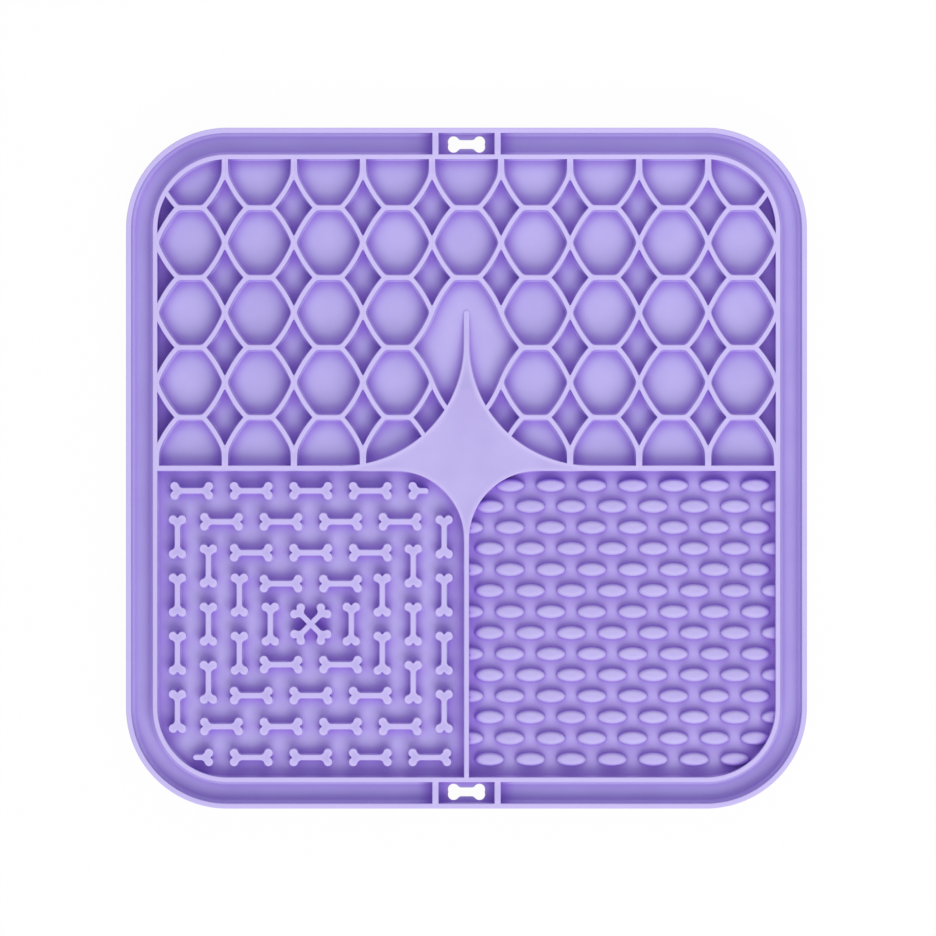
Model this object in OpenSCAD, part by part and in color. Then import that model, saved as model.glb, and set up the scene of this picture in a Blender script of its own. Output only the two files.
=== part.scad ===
// Square silicone lick mat: a thin sheet with moulded feeding zones on top and suction cups below.
// The origin is at the centre of the underside, on the plane of the cup lips, with +Z up.
// Seen from above with +Y away from the viewer, the honeycomb is the far half, the bone maze is
// the near left quarter and the oval bumps are the near right quarter.

/* [Sheet] */
// Side of the square mat
mat_w = 200; // [190:1:210]
// Radius of the mat's outer corners
corner_r = 29.7; // [27:0.1:32]
// Thickness of the base sheet
sheet_t = 1.6; // [1.2:0.1:2.4]
// Height of every full wall above the sheet
wall_h = 5.4; // [4.6:0.1:7]
// Radius on the top edges of rims and ribs
edge_r = 0.35; // [0.2:0.05:0.5]

/* [Rims and gutter] */
// Thickness of the outer rim
rim_t = 1.5; // [1.3:0.1:2]
// Width of the gutter between the rims
gutter_w = 6.3; // [5.8:0.1:7]
// Thickness of the inner rim
inner_rim_t = 1.4; // [1.2:0.1:1.8]
// Radius of the coves that round the gutter's floor
cove_r = 1; // [0.6:0.1:1.6]
// Thickness of the bars across the gutter
bar_t = 1.83; // [1.4:0.01:2.2]
// Distance from the mat's centre line to each bar's centre
bar_x = 9.13; // [8.5:0.01:10]

/* [Hanging holes] */
// Distance between the knob centres along the hole
hole_knob_dx = 7.6; // [7:0.1:8]
// Distance between the knob centres across the hole
hole_knob_dy = 1.5; // [1.2:0.1:1.6]
// Radius of the hole's knobs
hole_knob_r = 1.68; // [1.5:0.01:1.8]
// Width of the hole's waist
hole_waist = 2.65; // [2.2:0.05:2.8]

/* [Star and ribs] */
// Thickness of the rib that runs across the mat
cross_rib_t = 1.6; // [1.2:0.1:2]
// Thickness of the rib between the two near quarters
lower_rib_t = 1.5; // [1.2:0.1:2]
// Radius of the star's two far flanks
star_far_r = 35.7; // [30:0.1:37]
// Radius of the star's two near flanks
star_near_r = 20.1; // [17:0.1:22]
// Width of the star's far spike
spike_t = 1.55; // [1.2:0.05:1.8]
// Distance from the mat's centre to the spike's tip
spike_y = 46.5; // [42:0.5:50]
// Length over which the spike slopes down to its tip
spike_slope = 23.5; // [18:0.5:26]
// Height left at the spike's tip
spike_tip_h = 0.5; // [0.3:0.1:1]

/* [Honeycomb] */
// Number of columns of cells, with one in the middle
cell_columns = 9; // [7:2:11]
// Distance between two rows of cells
cell_h = 20.53; // [19:0.01:22]
// Height of the lowest wall crossings above the cross rib
cell_foot = 3.9; // [3:0.1:5]
// Half-length of the cells' flat walls
flat_half = 4.1; // [3.6:0.1:4.6]
// Thickness of the flat and slanted walls
cell_wall_t = 1.38; // [1.1:0.01:1.6]
// Thickness of the short upright walls at the rim and the rib
upright_t = 1.85; // [1.5:0.05:2.2]
// How far the slanted walls bow out of their cells
wall_bow = 0.55; // [0.3:0.05:0.8]

/* [Bone studs] */
// Height of the bone studs above the sheet
bone_h = 4.2; // [3:0.1:4.6]
// Distance between the knob centres along a bone
knob_dx = 10.1; // [9.4:0.1:10.4]
// Distance between the knob centres across a bone
knob_dy = 2.68; // [2.4:0.02:3]
// Radius of a bone's knobs
knob_r = 1.26; // [1.1:0.02:1.4]
// Width of a bone's shaft
shaft_w = 1.6; // [1.3:0.05:2]
// Radius of the hollow where the shaft runs into a knob
neck_r = 1.2; // [0.8:0.05:1.6]
// Radius of the notch between a bone's knobs
notch_r = 0.3; // [0.2:0.05:0.4]
// How far a half bone's round end stops short of the bone's middle
stub_gap = 0.4; // [0.2:0.1:0.8]
// Distance between the knob centres along each crossed bone
crossed_dx = 11; // [10:0.1:11.6]
// Distance from the maze's centre to its first ring of bones
ring_first = 11.9; // [11.2:0.1:12.4]
// Distance between two rings of bones
ring_step = 9.1; // [8.6:0.1:9.3]
// Distance between two bones in a row along X
row_step = 17.5; // [17:0.1:18]
// Distance between two bones in a column along Y
column_step = 17.1; // [16.6:0.1:17.6]

/* [Oval bumps] */
// Length of an oval bump
oval_len = 8.8; // [8:0.1:9.4]
// Width of an oval bump
oval_w = 4; // [3.4:0.1:4.4]
// Height of an oval bump above the sheet
oval_h = 3.2; // [2.4:0.1:4]
// Fullness of a bump's dome: 2 is a half ellipse, and more has steeper sides and a flatter top
oval_fullness = 4; // [2:0.5:6]
// Distance between two bumps in a row
oval_dx = 12.05; // [11.6:0.05:12.6]
// Distance between two rows of bumps
oval_dy = 6.2; // [5.6:0.05:6.6]
// Distance from the mat's centre to the first row of bumps
oval_first_y = 5.05; // [4.6:0.05:5.6]
// Distance from the mat's centre to the first bump of the first row
oval_first_x = 0.7; // [0.4:0.05:1]

/* [Suction cups] */
// Height of the suction cups under the sheet
cup_h = 3; // [2.4:0.1:4]
// Radius of a cup's lip
cup_r = 9; // [8:0.1:10]
// Radius of a cup's neck
cup_neck_r = 3.2; // [2.6:0.1:4]
// Height of the neck under the sheet
cup_neck_h = 0.7; // [0.5:0.1:0.9]
// Thickness of a cup's lip
cup_lip_t = 0.5; // [0.4:0.05:0.6]
// Width of the flat ring that the lip rests on
cup_land = 0.6; // [0.4:0.1:0.8]
// Depth of the hollow under a cup
cup_hollow = 1.3; // [1:0.1:1.5]
// Distance between two cups
cup_step = 31; // [28:0.5:32]
// Least distance from a cup's lip to the edge of the mat
cup_margin = 5; // [3:0.5:8]

/* [Hidden] */
$fn = 48;

// Colours of the silicone, as the light falls on it
sheet_colour = "#b4a4e8";
wall_colour = "#c4b6f3";
stud_colour = "#bfb0ef";
cup_colour = "#ab9be0";

// Number of straight steps in a quarter of a corner, a flank, a bowed wall, a rounded edge,
// a gutter's cove and a cup's skirt
corner_steps = 16;
flank_steps = 24;
bow_steps = 5;
edge_steps = 3;
cove_steps = 6;
cup_steps = 6;
// Number of rings of points in a bump's dome, and of points in each
dome_rings = 3;
dome_sides = 12;
// Number of straight steps in a bone's neck, knob and half notch
neck_steps = 4;
knob_steps = 12;
notch_steps = 2;
// How far a cutting shape runs past what it cuts
overrun = 1;

// Heights
sheet_z = cup_h;
floor_z = cup_h + sheet_t;

// Distances from the centre to the faces of the rims
half_w = mat_w / 2;
gutter_half = half_w - rim_t;
inner_half = gutter_half - gutter_w;
field_half = inner_half - inner_rim_t;
inner_r = corner_r - rim_t - gutter_w;
field_r = inner_r - inner_rim_t;
gutter_mid = (gutter_half + inner_half) / 2;
bay_half = bar_x + bar_t / 2;

// Reach of the star along the ribs
star_far_x = spike_t / 2 + star_far_r;
star_far_y = cross_rib_t / 2 + star_far_r;
star_near_x = lower_rib_t / 2 + star_near_r;
star_near_y = cross_rib_t / 2 + star_near_r;

// Honeycomb: the outermost crossings lie this share of the inner rim's thickness inside it
rim_bite_share = 1 / 3;
cell_w = 2 * (field_half + inner_rim_t * rim_bite_share) / cell_columns;
last_column = (cell_columns - 1) / 2;
half_cell_w = cell_w / 2;
// The lowest crossing, the number of rows, and the bowed wall's circle
half_cell_h = cell_h / 2;
crossing_y = cross_rib_t / 2 + cell_foot;
last_row = floor((field_half - crossing_y) / cell_h);
chord = [half_cell_w - flat_half, -half_cell_h];
bow_r = chord * chord / (8 * wall_bow) + wall_bow / 2;
bow_out = [half_cell_h, half_cell_w - flat_half] / norm(chord);
bow_c = [flat_half, half_cell_h] + chord / 2 - (bow_r - wall_bow) * bow_out;
cell_r = bow_r - cell_wall_t / 2;
gap_r = bow_r + cell_wall_t / 2;

// Centre of the bone maze, and the number of rings that its quarter has room for
maze_x = -(field_half + lower_rib_t / 2) / 2;
maze_y = -(field_half + cross_rib_t / 2) / 2;
maze_half = (field_half - max(lower_rib_t, cross_rib_t) / 2) / 2;
bone_half_w = knob_dy / 2 + knob_r;
bone_half_len = knob_dx / 2 + knob_r;
ring_count = floor((maze_half - ring_first - bone_half_w) / ring_step) + 1;

// Number of cups along each side
cups_per_side = floor((mat_w - 2 * (cup_r + cup_margin)) / cup_step) + 1;

// Oval bumps: the last row and column that reach the field
last_oval_row = floor((field_half - oval_first_y) / oval_dy);
last_oval_column = floor((field_half + oval_len / 2 - oval_first_x) / oval_dx);

// Points on an arc about c, from angle a0 to a1
function arc(c, r, a0, a1, steps) =
    [for (i = [0:steps]) let (a = a0 + (a1 - a0) * i / steps) c + r * [cos(a), sin(a)]];

// The same points without the last, where the next arc starts on it
function open_arc(c, r, a0, a1, steps) =
    [for (i = [0:steps - 1]) let (a = a0 + (a1 - a0) * i / steps) c + r * [cos(a), sin(a)]];

// Points mirrored about X = 0, and about Y = 0, in the reverse order
function flip_x(p) = [for (i = [len(p) - 1:-1:0]) [-p[i].x, p[i].y]];
function flip_y(p) = [for (i = [len(p) - 1:-1:0]) [p[i].x, -p[i].y]];

// Points turned about the origin
function turn(p, a) = [for (q = p) [q.x * cos(a) - q.y * sin(a), q.x * sin(a) + q.y * cos(a)]];

// Section of a wall with rounded top edges, centred on X = 0
function rib_section(t, h) =
    let (side = concat([[t / 2, 0]], arc([t / 2 - edge_r, h - edge_r], edge_r, 0, 90, edge_steps)))
    concat(side, flip_x(side));

// Outline of the field inside the inner rim
function field_outline() =
    let (c = field_half - field_r)
    concat(
        arc([c, c], field_r, 0, 90, corner_steps), arc([-c, c], field_r, 90, 180, corner_steps),
        arc([-c, -c], field_r, 180, 270, corner_steps), arc([c, -c], field_r, 270, 360, corner_steps)
    );

// Outline of the star's right half: near point, near flank, end at the rib, far flank, spike
function star_side() =
    concat(
        arc([star_near_x, -star_near_y], star_near_r, 180, 90, flank_steps),
        [[star_far_x, -cross_rib_t / 2]],
        arc([star_far_x, star_far_y], star_far_r, 270, 180, flank_steps)
    );

// Upper right bowed wall of a cell, from its flat wall to the height end_y above its centre
function cell_arc(end_y) =
    arc(
        bow_c, cell_r, asin((half_cell_h - cell_wall_t / 2 - bow_c.y) / cell_r),
        asin((end_y - bow_c.y) / cell_r), bow_steps
    );

// Where an upright wall's face meets the bowed wall
upright_x = half_cell_w - upright_t / 2;
upright_y = bow_c.y + sqrt(cell_r * cell_r - pow(upright_x - bow_c.x, 2));

// Whole six-sided cell about its centre
function cell_outline() =
    let (upper = concat(flip_x(cell_arc(0)), cell_arc(0)))
    concat(upper, flip_y(upper));

// Half cell whose upright walls run down for the length run
function foot_outline(run) =
    let (side = concat(cell_arc(upright_y), [[upright_x, -run]]))
    concat(flip_x(side), side);

// Angles at which a diamond's walls cross its middle and its upright axis
gap_a0 = asin((half_cell_h - bow_c.y) / gap_r);
gap_a1 = acos((half_cell_w - bow_c.x) / gap_r);

// Diamond between four cells, about its centre: its lower left side, mirrored three times
function gap_outline() =
    let (
        side = arc(bow_c - [half_cell_w, half_cell_h], gap_r, gap_a0, gap_a1, bow_steps),
        lower = concat(side, flip_x(side))
    )
    concat(lower, flip_y(lower));

// Tall cell round the spike, from its top cell's centre down to the one a row below
function tall_outline() =
    let (
        mirror_c = [cell_w - bow_c.x, -bow_c.y],
        shoulder = arc(mirror_c, gap_r, 180 - asin(bow_c.y / gap_r), 180 + gap_a0, bow_steps),
        side = concat(cell_arc(0), shoulder),
        below = [for (p = flip_y(side)) [p.x, p.y - cell_h]],
        right = concat(side, below)
    )
    concat(right, flip_x(right));

// Right half of a bone along X, from the top of its shaft round the knobs to the shaft's underside:
// the neck's hollow, the knob and the notch are circles that touch each other
function bone_end(dx, dy, r, w) =
    let (
        knob = [dx, dy] / 2,
        neck_y = w / 2 + neck_r,
        neck = [knob.x - sqrt(pow(neck_r + r, 2) - pow(neck_y - knob.y, 2)), neck_y],
        notch = [knob.x + sqrt(pow(notch_r + r, 2) - knob.y * knob.y), 0],
        a = atan2(neck.y - knob.y, neck.x - knob.x),
        b = atan2(notch.y - knob.y, notch.x - knob.x),
        upper = concat(
            open_arc(neck, neck_r, 270, a + 180, neck_steps),
            open_arc(knob, r, a, b, knob_steps),
            open_arc(notch, notch_r, b + 180, 180, notch_steps)
        )
    )
    concat(upper, [notch - [notch_r, 0]], flip_y(upper));

function bone_outline(dx, dy, r, w) =
    let (end = bone_end(dx, dy, r, w)) concat(end, flip_x(end));

// Are the corners of a bone's half in the near left quarter, clear of the rim, the ribs and the star?
// The bone lies at p, turned by a, and end is 1 or -1
function bone_end_fits(p, a, end) =
    min([for (side = [-1, 1], x = [0, bone_half_len])
        let (q = p + turn([[end * x, side * (x > 0 ? bone_half_w : shaft_w / 2)]], a)[0])
        in_quarter([-q.x, q.y]) ? 1 : 0]) > 0;

function whole_bone(place) = bone_end_fits(place[0], place[1], 1) && bone_end_fits(place[0], place[1], -1);

// Places of the bones: [centre, turn]. On its far and its near side a ring has one more than its
// number, lying along X, and on its left and its right side as many as its number, along Y
function ring_offset(ring) = ring_first + (ring - 1) * ring_step;
row_places = [
    for (ring = [1:ring_count], side = [-1, 1], i = [0:ring])
        [[maze_x + (i - ring / 2) * row_step, maze_y + side * ring_offset(ring)], 0]
];
column_places = [
    for (ring = [1:ring_count], side = [-1, 1], i = [0:ring - 1])
        [[maze_x + side * ring_offset(ring), maze_y + (i - (ring - 1) / 2) * column_step], 90]
];

// Is the point in the field's near right quarter, clear of the ribs and the star?
function in_quarter(p) =
    let (
        c = field_half - field_r,
        past = [max(p.x - c, 0), max(-p.y - c, 0)],
        star = [max(star_near_x - p.x, 0), max(star_near_y + p.y, 0)]
    )
    p.x > lower_rib_t / 2 && p.y < -cross_rib_t / 2 && norm(past) < field_r
    && p.x < field_half && -p.y < field_half && norm(star) < star_near_r;

// Is a whole bump at p clear of the rim, the ribs and the star?
function whole_bump(p) =
    min([for (a = [0:45:315])
        in_quarter(p + [cos(a) * oval_len / 2, sin(a) * oval_w / 2]) ? 1 : 0]) > 0;

// Does a good part of a bump at p show?
function part_bump(p) =
    in_quarter(p - [oval_len / 4, 0]) || in_quarter(p + [oval_len / 4, 0]);

// Centres of the bumps, every other row moved by half a step
oval_places = [
    for (row = [0:last_oval_row], column = [0:last_oval_column])
        [oval_first_x + (column + (row % 2) / 2) * oval_dx, -oval_first_y - row * oval_dy]
];

// Closed loop of a section with rounded corners: the section's X = 0 is the loop's outer face
module rim_loop(half, r, section) {
    for (side = [0:3])
        rotate([0, 0, side * 90]) {
            translate([half, half - r, 0])
                rotate([90, 0, 0])
                    linear_extrude(2 * (half - r)) polygon(section);
            translate([half - r, half - r, 0])
                rotate_extrude(angle = 90) translate([r, 0]) polygon(section);
        }
}

// The two bays between the bars, where the gutter's floor is flat
module hanging_bays() {
    for (side = [-1, 1])
        translate([-bay_half, side * gutter_mid - gutter_w / 2, 0])
            cube([2 * bay_half, gutter_w, wall_h + overrun]);
}

module stud(outline) {
    translate([0, 0, floor_z]) linear_extrude(bone_h) polygon(outline);
}

// Whole bones at those of the places where the whole bone fits
module bone_studs(places) {
    outline = bone_outline(knob_dx, knob_dy, knob_r, shaft_w);
    color(stud_colour)
        for (place = places)
            if (whole_bone(place))
                translate([place[0].x, place[0].y]) rotate([0, 0, place[1]]) stud(outline);
}

// Domed oval bump: rings of points that rise and close in on its top
module oval_bump() {
    points = [
        for (i = [0:dome_rings - 1], j = [0:dome_sides - 1])
            let (
                a = 90 * i / dome_rings,
                b = 360 * j / dome_sides,
                out = pow(cos(a), 2 / oval_fullness),
                up = pow(sin(a), 2 / oval_fullness)
            )
            [oval_len / 2 * out * cos(b), oval_w / 2 * out * sin(b), oval_h * up]
    ];
    sides = [
        for (i = [0:dome_rings - 2], j = [0:dome_sides - 1])
            let (a = i * dome_sides, b = (i + 1) * dome_sides, k = (j + 1) % dome_sides)
            [a + j, b + j, b + k, a + k]
    ];
    crown = [
        for (j = [0:dome_sides - 1])
            let (a = (dome_rings - 1) * dome_sides)
            [a + j, len(points), a + (j + 1) % dome_sides]
    ];
    translate([0, 0, floor_z])
        polyhedron(
            concat(points, [[0, 0, oval_h]]),
            concat([[for (j = [0:dome_sides - 1]) j]], sides, crown)
        );
}

module base_sheet() {
    color(sheet_colour)
        translate([0, 0, sheet_z])
            difference() {
                for (side = [0:3])
                    rotate([0, 0, side * 90]) {
                        translate([corner_r - half_w, 0, 0])
                            cube([mat_w - 2 * corner_r, half_w, sheet_t]);
                        translate([half_w - corner_r, half_w - corner_r, 0])
                            rotate_extrude(angle = 90) square([corner_r, sheet_t]);
                    }
                for (side = [-1, 1])
                    translate([0, side * gutter_mid, -overrun])
                        linear_extrude(sheet_t + 2 * overrun)
                            polygon(bone_outline(hole_knob_dx, hole_knob_dy, hole_knob_r, hole_waist));
            }
}

module outer_rim() {
    top = arc([-edge_r, wall_h - edge_r], edge_r, 0, 90, edge_steps);
    back = arc([edge_r - rim_t, wall_h - edge_r], edge_r, 90, 180, edge_steps);
    cove = arc([-rim_t - cove_r, cove_r], cove_r, 0, -90, cove_steps);
    color(wall_colour)
        translate([0, 0, floor_z])
            difference() {
                rim_loop(half_w, corner_r, concat([[0, 0]], top, back, cove));
                hanging_bays();
            }
}

module inner_rim() {
    cove = arc([cove_r, cove_r], cove_r, 270, 180, cove_steps);
    top = arc([-edge_r, wall_h - edge_r], edge_r, 0, 90, edge_steps);
    back = arc([edge_r - inner_rim_t, wall_h - edge_r], edge_r, 90, 180, edge_steps);
    color(wall_colour)
        translate([0, 0, floor_z])
            difference() {
                rim_loop(inner_half, inner_r, concat(cove, top, back, [[-inner_rim_t, 0]]));
                hanging_bays();
            }
}

module gutter_bars() {
    color(wall_colour)
        for (x = [-bar_x, bar_x], y = [-gutter_mid, gutter_mid])
            translate([x, y + gutter_w / 2, floor_z])
                rotate([90, 0, 0])
                    linear_extrude(gutter_w) polygon(rib_section(bar_t, wall_h));
}

// Star with four points, whose far spike slopes down to its tip
module centre_star() {
    side = star_side();
    spike_end = arc([0, spike_y - spike_t / 2], spike_t / 2, 0, 180, edge_steps * 2);
    color(wall_colour)
        translate([0, 0, floor_z])
            difference() {
                linear_extrude(wall_h) polygon(concat(side, spike_end, flip_x(side)));
                translate([-spike_t, 0, 0])
                    rotate([90, 0, 90])
                        linear_extrude(2 * spike_t)
                            polygon([
                                [spike_y - spike_slope, wall_h], [spike_y, spike_tip_h],
                                [spike_y + overrun, spike_tip_h], [spike_y + overrun, wall_h + overrun],
                                [spike_y - spike_slope, wall_h + overrun]
                            ]);
            }
}

module cross_rib(x) {
    color(wall_colour)
        translate([x, 0, floor_z])
            rotate([90, 0, 90])
                linear_extrude(field_half - star_far_x) polygon(rib_section(cross_rib_t, wall_h));
}

module left_rib() {
    cross_rib(-field_half);
}

module right_rib() {
    cross_rib(star_far_x);
}

module lower_rib() {
    color(wall_colour)
        translate([0, -star_near_y, floor_z])
            rotate([90, 0, 0])
                linear_extrude(field_half - star_near_y) polygon(rib_section(lower_rib_t, wall_h));
}

// Net of bowed walls: the far half of the field less the star and every cell
module honeycomb_walls() {
    side = star_side();
    top_y = crossing_y + last_row * cell_h;
    spike_row = floor((spike_y - crossing_y) / cell_h);
    color(wall_colour)
        translate([0, 0, floor_z])
            linear_extrude(wall_h)
                difference() {
                    polygon(field_outline());
                    translate([-half_w, -mat_w + cross_rib_t / 2]) square([mat_w, mat_w]);
                    polygon(concat(side, flip_x(side)));
                    for (column = [-last_column:last_column]) {
                        for (row = [1:last_row - 1])
                            if (column != 0 || row < spike_row - 1 || row > spike_row)
                                translate([column * cell_w, crossing_y + row * cell_h])
                                    polygon(cell_outline());
                        translate([column * cell_w, crossing_y])
                            polygon(foot_outline(cell_foot + cross_rib_t));
                        translate([column * cell_w, top_y])
                            mirror([0, 1]) polygon(foot_outline(field_half - top_y + overrun));
                    }
                    for (column = [-last_column - 1:last_column], row = [0:last_row - 1])
                        if (abs(column * 2 + 1) > 1 || row != spike_row - 1)
                            translate([(column + 1 / 2) * cell_w, crossing_y + (row + 1 / 2) * cell_h])
                                polygon(gap_outline());
                    translate([0, crossing_y + spike_row * cell_h]) polygon(tall_outline());
                }
}

module row_bone_studs() {
    bone_studs(row_places);
}

module column_bone_studs() {
    bone_studs(column_places);
}

// Bones that the star or the field's corner leaves room for only half of, with a round end
module half_bone_studs() {
    end = bone_end(knob_dx, knob_dy, knob_r, shaft_w);
    outline = concat(end, arc([stub_gap + shaft_w / 2, 0], shaft_w / 2, 270, 90, knob_steps));
    color(stud_colour)
        for (place = concat(row_places, column_places), side = [-1, 1])
            if (!whole_bone(place) && bone_end_fits(place[0], place[1], side))
                translate([place[0].x, place[0].y])
                    rotate([0, 0, place[1] + (side > 0 ? 0 : 180)]) stud(outline);
}

// Two crossed bones: four bone ends, turned by a quarter each, that meet in the middle
module crossed_bone_stud() {
    arm = concat(bone_end(crossed_dx, knob_dy, knob_r, shaft_w), [[shaft_w, -shaft_w] / 2]);
    color(stud_colour)
        translate([maze_x, maze_y])
            stud([for (i = [0:3]) each turn(arm, 45 - 90 * i)]);
}

module oval_bumps() {
    color(stud_colour)
        for (p = oval_places)
            if (whole_bump(p)) translate([p.x, p.y]) oval_bump();
}

// Bumps that the rim, the ribs or the star cut short
module edge_oval_bumps() {
    side = star_side();
    color(stud_colour)
        intersection() {
            for (p = oval_places)
                if (part_bump(p) && !whole_bump(p)) translate([p.x, p.y]) oval_bump();
            translate([0, 0, floor_z])
                linear_extrude(oval_h + overrun)
                    difference() {
                        polygon(field_outline());
                        translate([-half_w, -cross_rib_t / 2]) square([mat_w, mat_w]);
                        translate([lower_rib_t / 2 - mat_w, -half_w]) square([mat_w, mat_w]);
                        polygon(concat(side, flip_x(side)));
                    }
        }
}

// Shallow cup with a thin flared skirt, a short neck and a flat ring to rest on
module suction_cup() {
    skirt = [for (i = [1:cup_steps]) let (a = 90 * i / cup_steps) [
        cup_neck_r + (cup_r - cup_neck_r) * sin(a),
        cup_lip_t + (cup_h - cup_neck_h - cup_lip_t) * cos(a)
    ]];
    hollow_r = cup_r - cup_land;
    hollow = [for (i = [0:cup_steps]) let (a = 90 * i / cup_steps) [
        hollow_r * cos(a), cup_hollow * sin(a)
    ]];
    rotate_extrude()
        polygon(concat(
            [[0, cup_h], [cup_neck_r, cup_h], [cup_neck_r, cup_h - cup_neck_h]],
            skirt, [[cup_r, 0]], hollow
        ));
}

module suction_cups() {
    color(cup_colour)
        for (i = [0:cups_per_side - 1], j = [0:cups_per_side - 1])
            translate([
                (i - (cups_per_side - 1) / 2) * cup_step,
                (j - (cups_per_side - 1) / 2) * cup_step
            ])
                suction_cup();
}

base_sheet();
outer_rim();
inner_rim();
gutter_bars();
centre_star();
left_rib();
right_rib();
lower_rib();
honeycomb_walls();
row_bone_studs();
column_bone_studs();
half_bone_studs();
crossed_bone_stud();
oval_bumps();
edge_oval_bumps();
suction_cups();
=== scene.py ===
import math

import bpy
import numpy as np
from bpy.props import FloatProperty, FloatVectorProperty, IntProperty, PointerProperty, StringProperty
from bpy.types import Operator, Panel, PropertyGroup
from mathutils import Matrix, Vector


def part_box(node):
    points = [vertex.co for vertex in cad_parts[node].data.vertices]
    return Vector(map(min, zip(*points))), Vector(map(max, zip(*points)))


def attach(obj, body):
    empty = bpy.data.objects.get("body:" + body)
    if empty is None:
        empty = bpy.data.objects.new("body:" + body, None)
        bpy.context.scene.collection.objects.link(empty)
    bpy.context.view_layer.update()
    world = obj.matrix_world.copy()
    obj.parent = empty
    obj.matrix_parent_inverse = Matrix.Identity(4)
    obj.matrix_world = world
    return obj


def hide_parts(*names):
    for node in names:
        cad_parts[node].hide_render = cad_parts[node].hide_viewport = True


# A square silicone lick mat seen from above: a honeycomb in the far half, a maze of bone-shaped studs
# in the near left quarter, oval bumps in the near right quarter and a four-pointed star between them.
bl_info = {
    "name": "Silicone lick mat",
    "version": (1, 0, 0),
    "blender": (4, 5, 0),
    "location": "3D View > Sidebar > Lick mat",
    "description": "Dresses the packed lick mat with moulded silicone surfaces",
    "category": "Object",
}

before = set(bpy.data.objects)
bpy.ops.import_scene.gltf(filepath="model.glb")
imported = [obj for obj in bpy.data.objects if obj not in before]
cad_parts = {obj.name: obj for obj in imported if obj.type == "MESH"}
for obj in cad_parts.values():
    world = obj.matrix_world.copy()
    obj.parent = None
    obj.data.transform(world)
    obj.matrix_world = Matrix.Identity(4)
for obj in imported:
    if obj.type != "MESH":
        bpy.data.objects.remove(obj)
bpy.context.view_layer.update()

MM = 0.001
# A distance that no ray in the field reaches
FAR = 1.0
# Heights and half width that the frame gives
HALF_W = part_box("base_sheet")[1].x
SHEET_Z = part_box("base_sheet")[0].z
FLOOR_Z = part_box("base_sheet")[1].z
TOP_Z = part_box("outer_rim")[1].z
BONE_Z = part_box("row_bone_studs")[1].z
OVAL_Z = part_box("oval_bumps")[1].z
STAR_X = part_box("centre_star")[1].x
SPIKE_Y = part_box("centre_star")[1].y
STAR_NEAR_Y = -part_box("centre_star")[0].y
# Step that keeps apart two faces which would share a plane: the lower lies one or a few steps down
HAIR = 0.01 * MM
# How far a wall's end or a cell's skin runs on inside the rim, rib or star that it meets
BITE = 0.4 * MM
# Steps along a small quarter round and a cove; a bone's notch, knob and neck and a half bone's round
# end; the spike's tip and sides; and a cup's hollow or skirt, its lip and its flare
EDGE_STEPS = 5
COVE_STEPS = 12
NOTCH_STEPS, KNOB_STEPS, NECK_STEPS, STUB_STEPS = 5, 26, 7, 14
TIP_STEPS, SPIKE_STEPS = 6, 9
CUP_STEPS, LIP_STEPS, FLARE_STEPS = 12, 8, 4
# Angles up a bump's dome, closer at its foot, where the dome is steep
DOME_DEGREES = (0, 6, 14, 24, 36, 50, 64, 76, 85)
# Last angle of a cup's hollow and skirt and of the spike's tip, each a little short of a quarter turn
CUP_LAST, TIP_LAST = 88, 84


def length(name, description, mm):
    """A size in metres, whose default is given in millimetres."""
    return FloatProperty(name=name, description=description, default=mm * MM, unit="LENGTH", precision=5)


def number_of(name, description, default):
    """A count of things or of steps."""
    return IntProperty(name=name, description=description, default=default)


def factor(name, description, default):
    """A number without a unit."""
    return FloatProperty(name=name, description=description, default=default)


def tint(name, description, default):
    """A colour, as an sRGB hex value."""
    return StringProperty(name=name, description=description, default=default)


class RimSizes(PropertyGroup):
    corner_r: length("Corner", "Radius of the mat's outer corners", 29.7)
    rim_t: length("Outer rim", "Thickness of the outer rim", 1.5)
    gutter_w: length("Gutter", "Width of the gutter between the rims", 6.3)
    inner_rim_t: length("Inner rim", "Thickness of the inner rim", 1.4)
    cove_r: length("Cove", "Radius of the coves along the gutter's floor", 1)
    bar_t: length("Bar", "Thickness of the bars across the gutter", 1.83)
    bar_x: length("Bar place", "Distance from the centre line to a bar's centre", 9.13)
    edge_r: length("Top edge", "Radius on the top edges of rims, ribs and star", 0.22)
    foot_r: length("Foot", "Radius where a wall runs into the floor", 0.3)
    corner_steps: number_of("Corner steps", "Steps in a quarter turn", 48)


class StarSizes(PropertyGroup):
    cross_rib_t: length("Cross rib", "Thickness of the rib across the mat", 1.6)
    lower_rib_t: length("Near rib", "Thickness of the rib between the near quarters", 1.5)
    spike_t: length("Spike", "Width of the star's far spike", 1.55)
    spike_slope: length("Slope", "Length over which the spike slopes down", 23.5)
    spike_tip_h: length("Tip", "Height left at the spike's tip", 0.2)
    flank_steps: number_of("Flank steps", "Steps in each flank", 64)


class HoneycombSizes(PropertyGroup):
    cell_columns: number_of("Columns", "Columns of cells, one in the middle", 9)
    cell_h: length("Row step", "Distance between two rows of cells", 20.53)
    cell_foot: length("Foot", "Height of the lowest crossings above the cross rib", 3.9)
    flat_half: length("Flat", "Half-length of the cells' flat walls", 3.8)
    wall_t: length("Wall", "Thickness of the flat and bowed walls", 1.38)
    upright_t: length("Upright", "Thickness of the upright walls", 1.85)
    wall_bow: length("Bow", "How far the slanted walls bow out", 0.55)
    edge_r: length("Top edge", "Radius on the walls' top edges", 0.18)
    draft: length("Draft", "How much a wall's foot stands out past its top", 0.08)
    foot_r: length("Fillet", "Radius where a wall runs into its cell's floor", 0.35)
    cell_power: factor("Cell corner", "Power of the soft minimum that rounds a cell's corners", 32)
    gap_power: factor("Diamond corner", "Power that rounds a diamond's sharper corners", 150)
    cell_steps: number_of("Cell steps", "Rays round a cell", 180)
    gap_steps: number_of("Diamond steps", "Rays round a diamond", 144)


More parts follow.
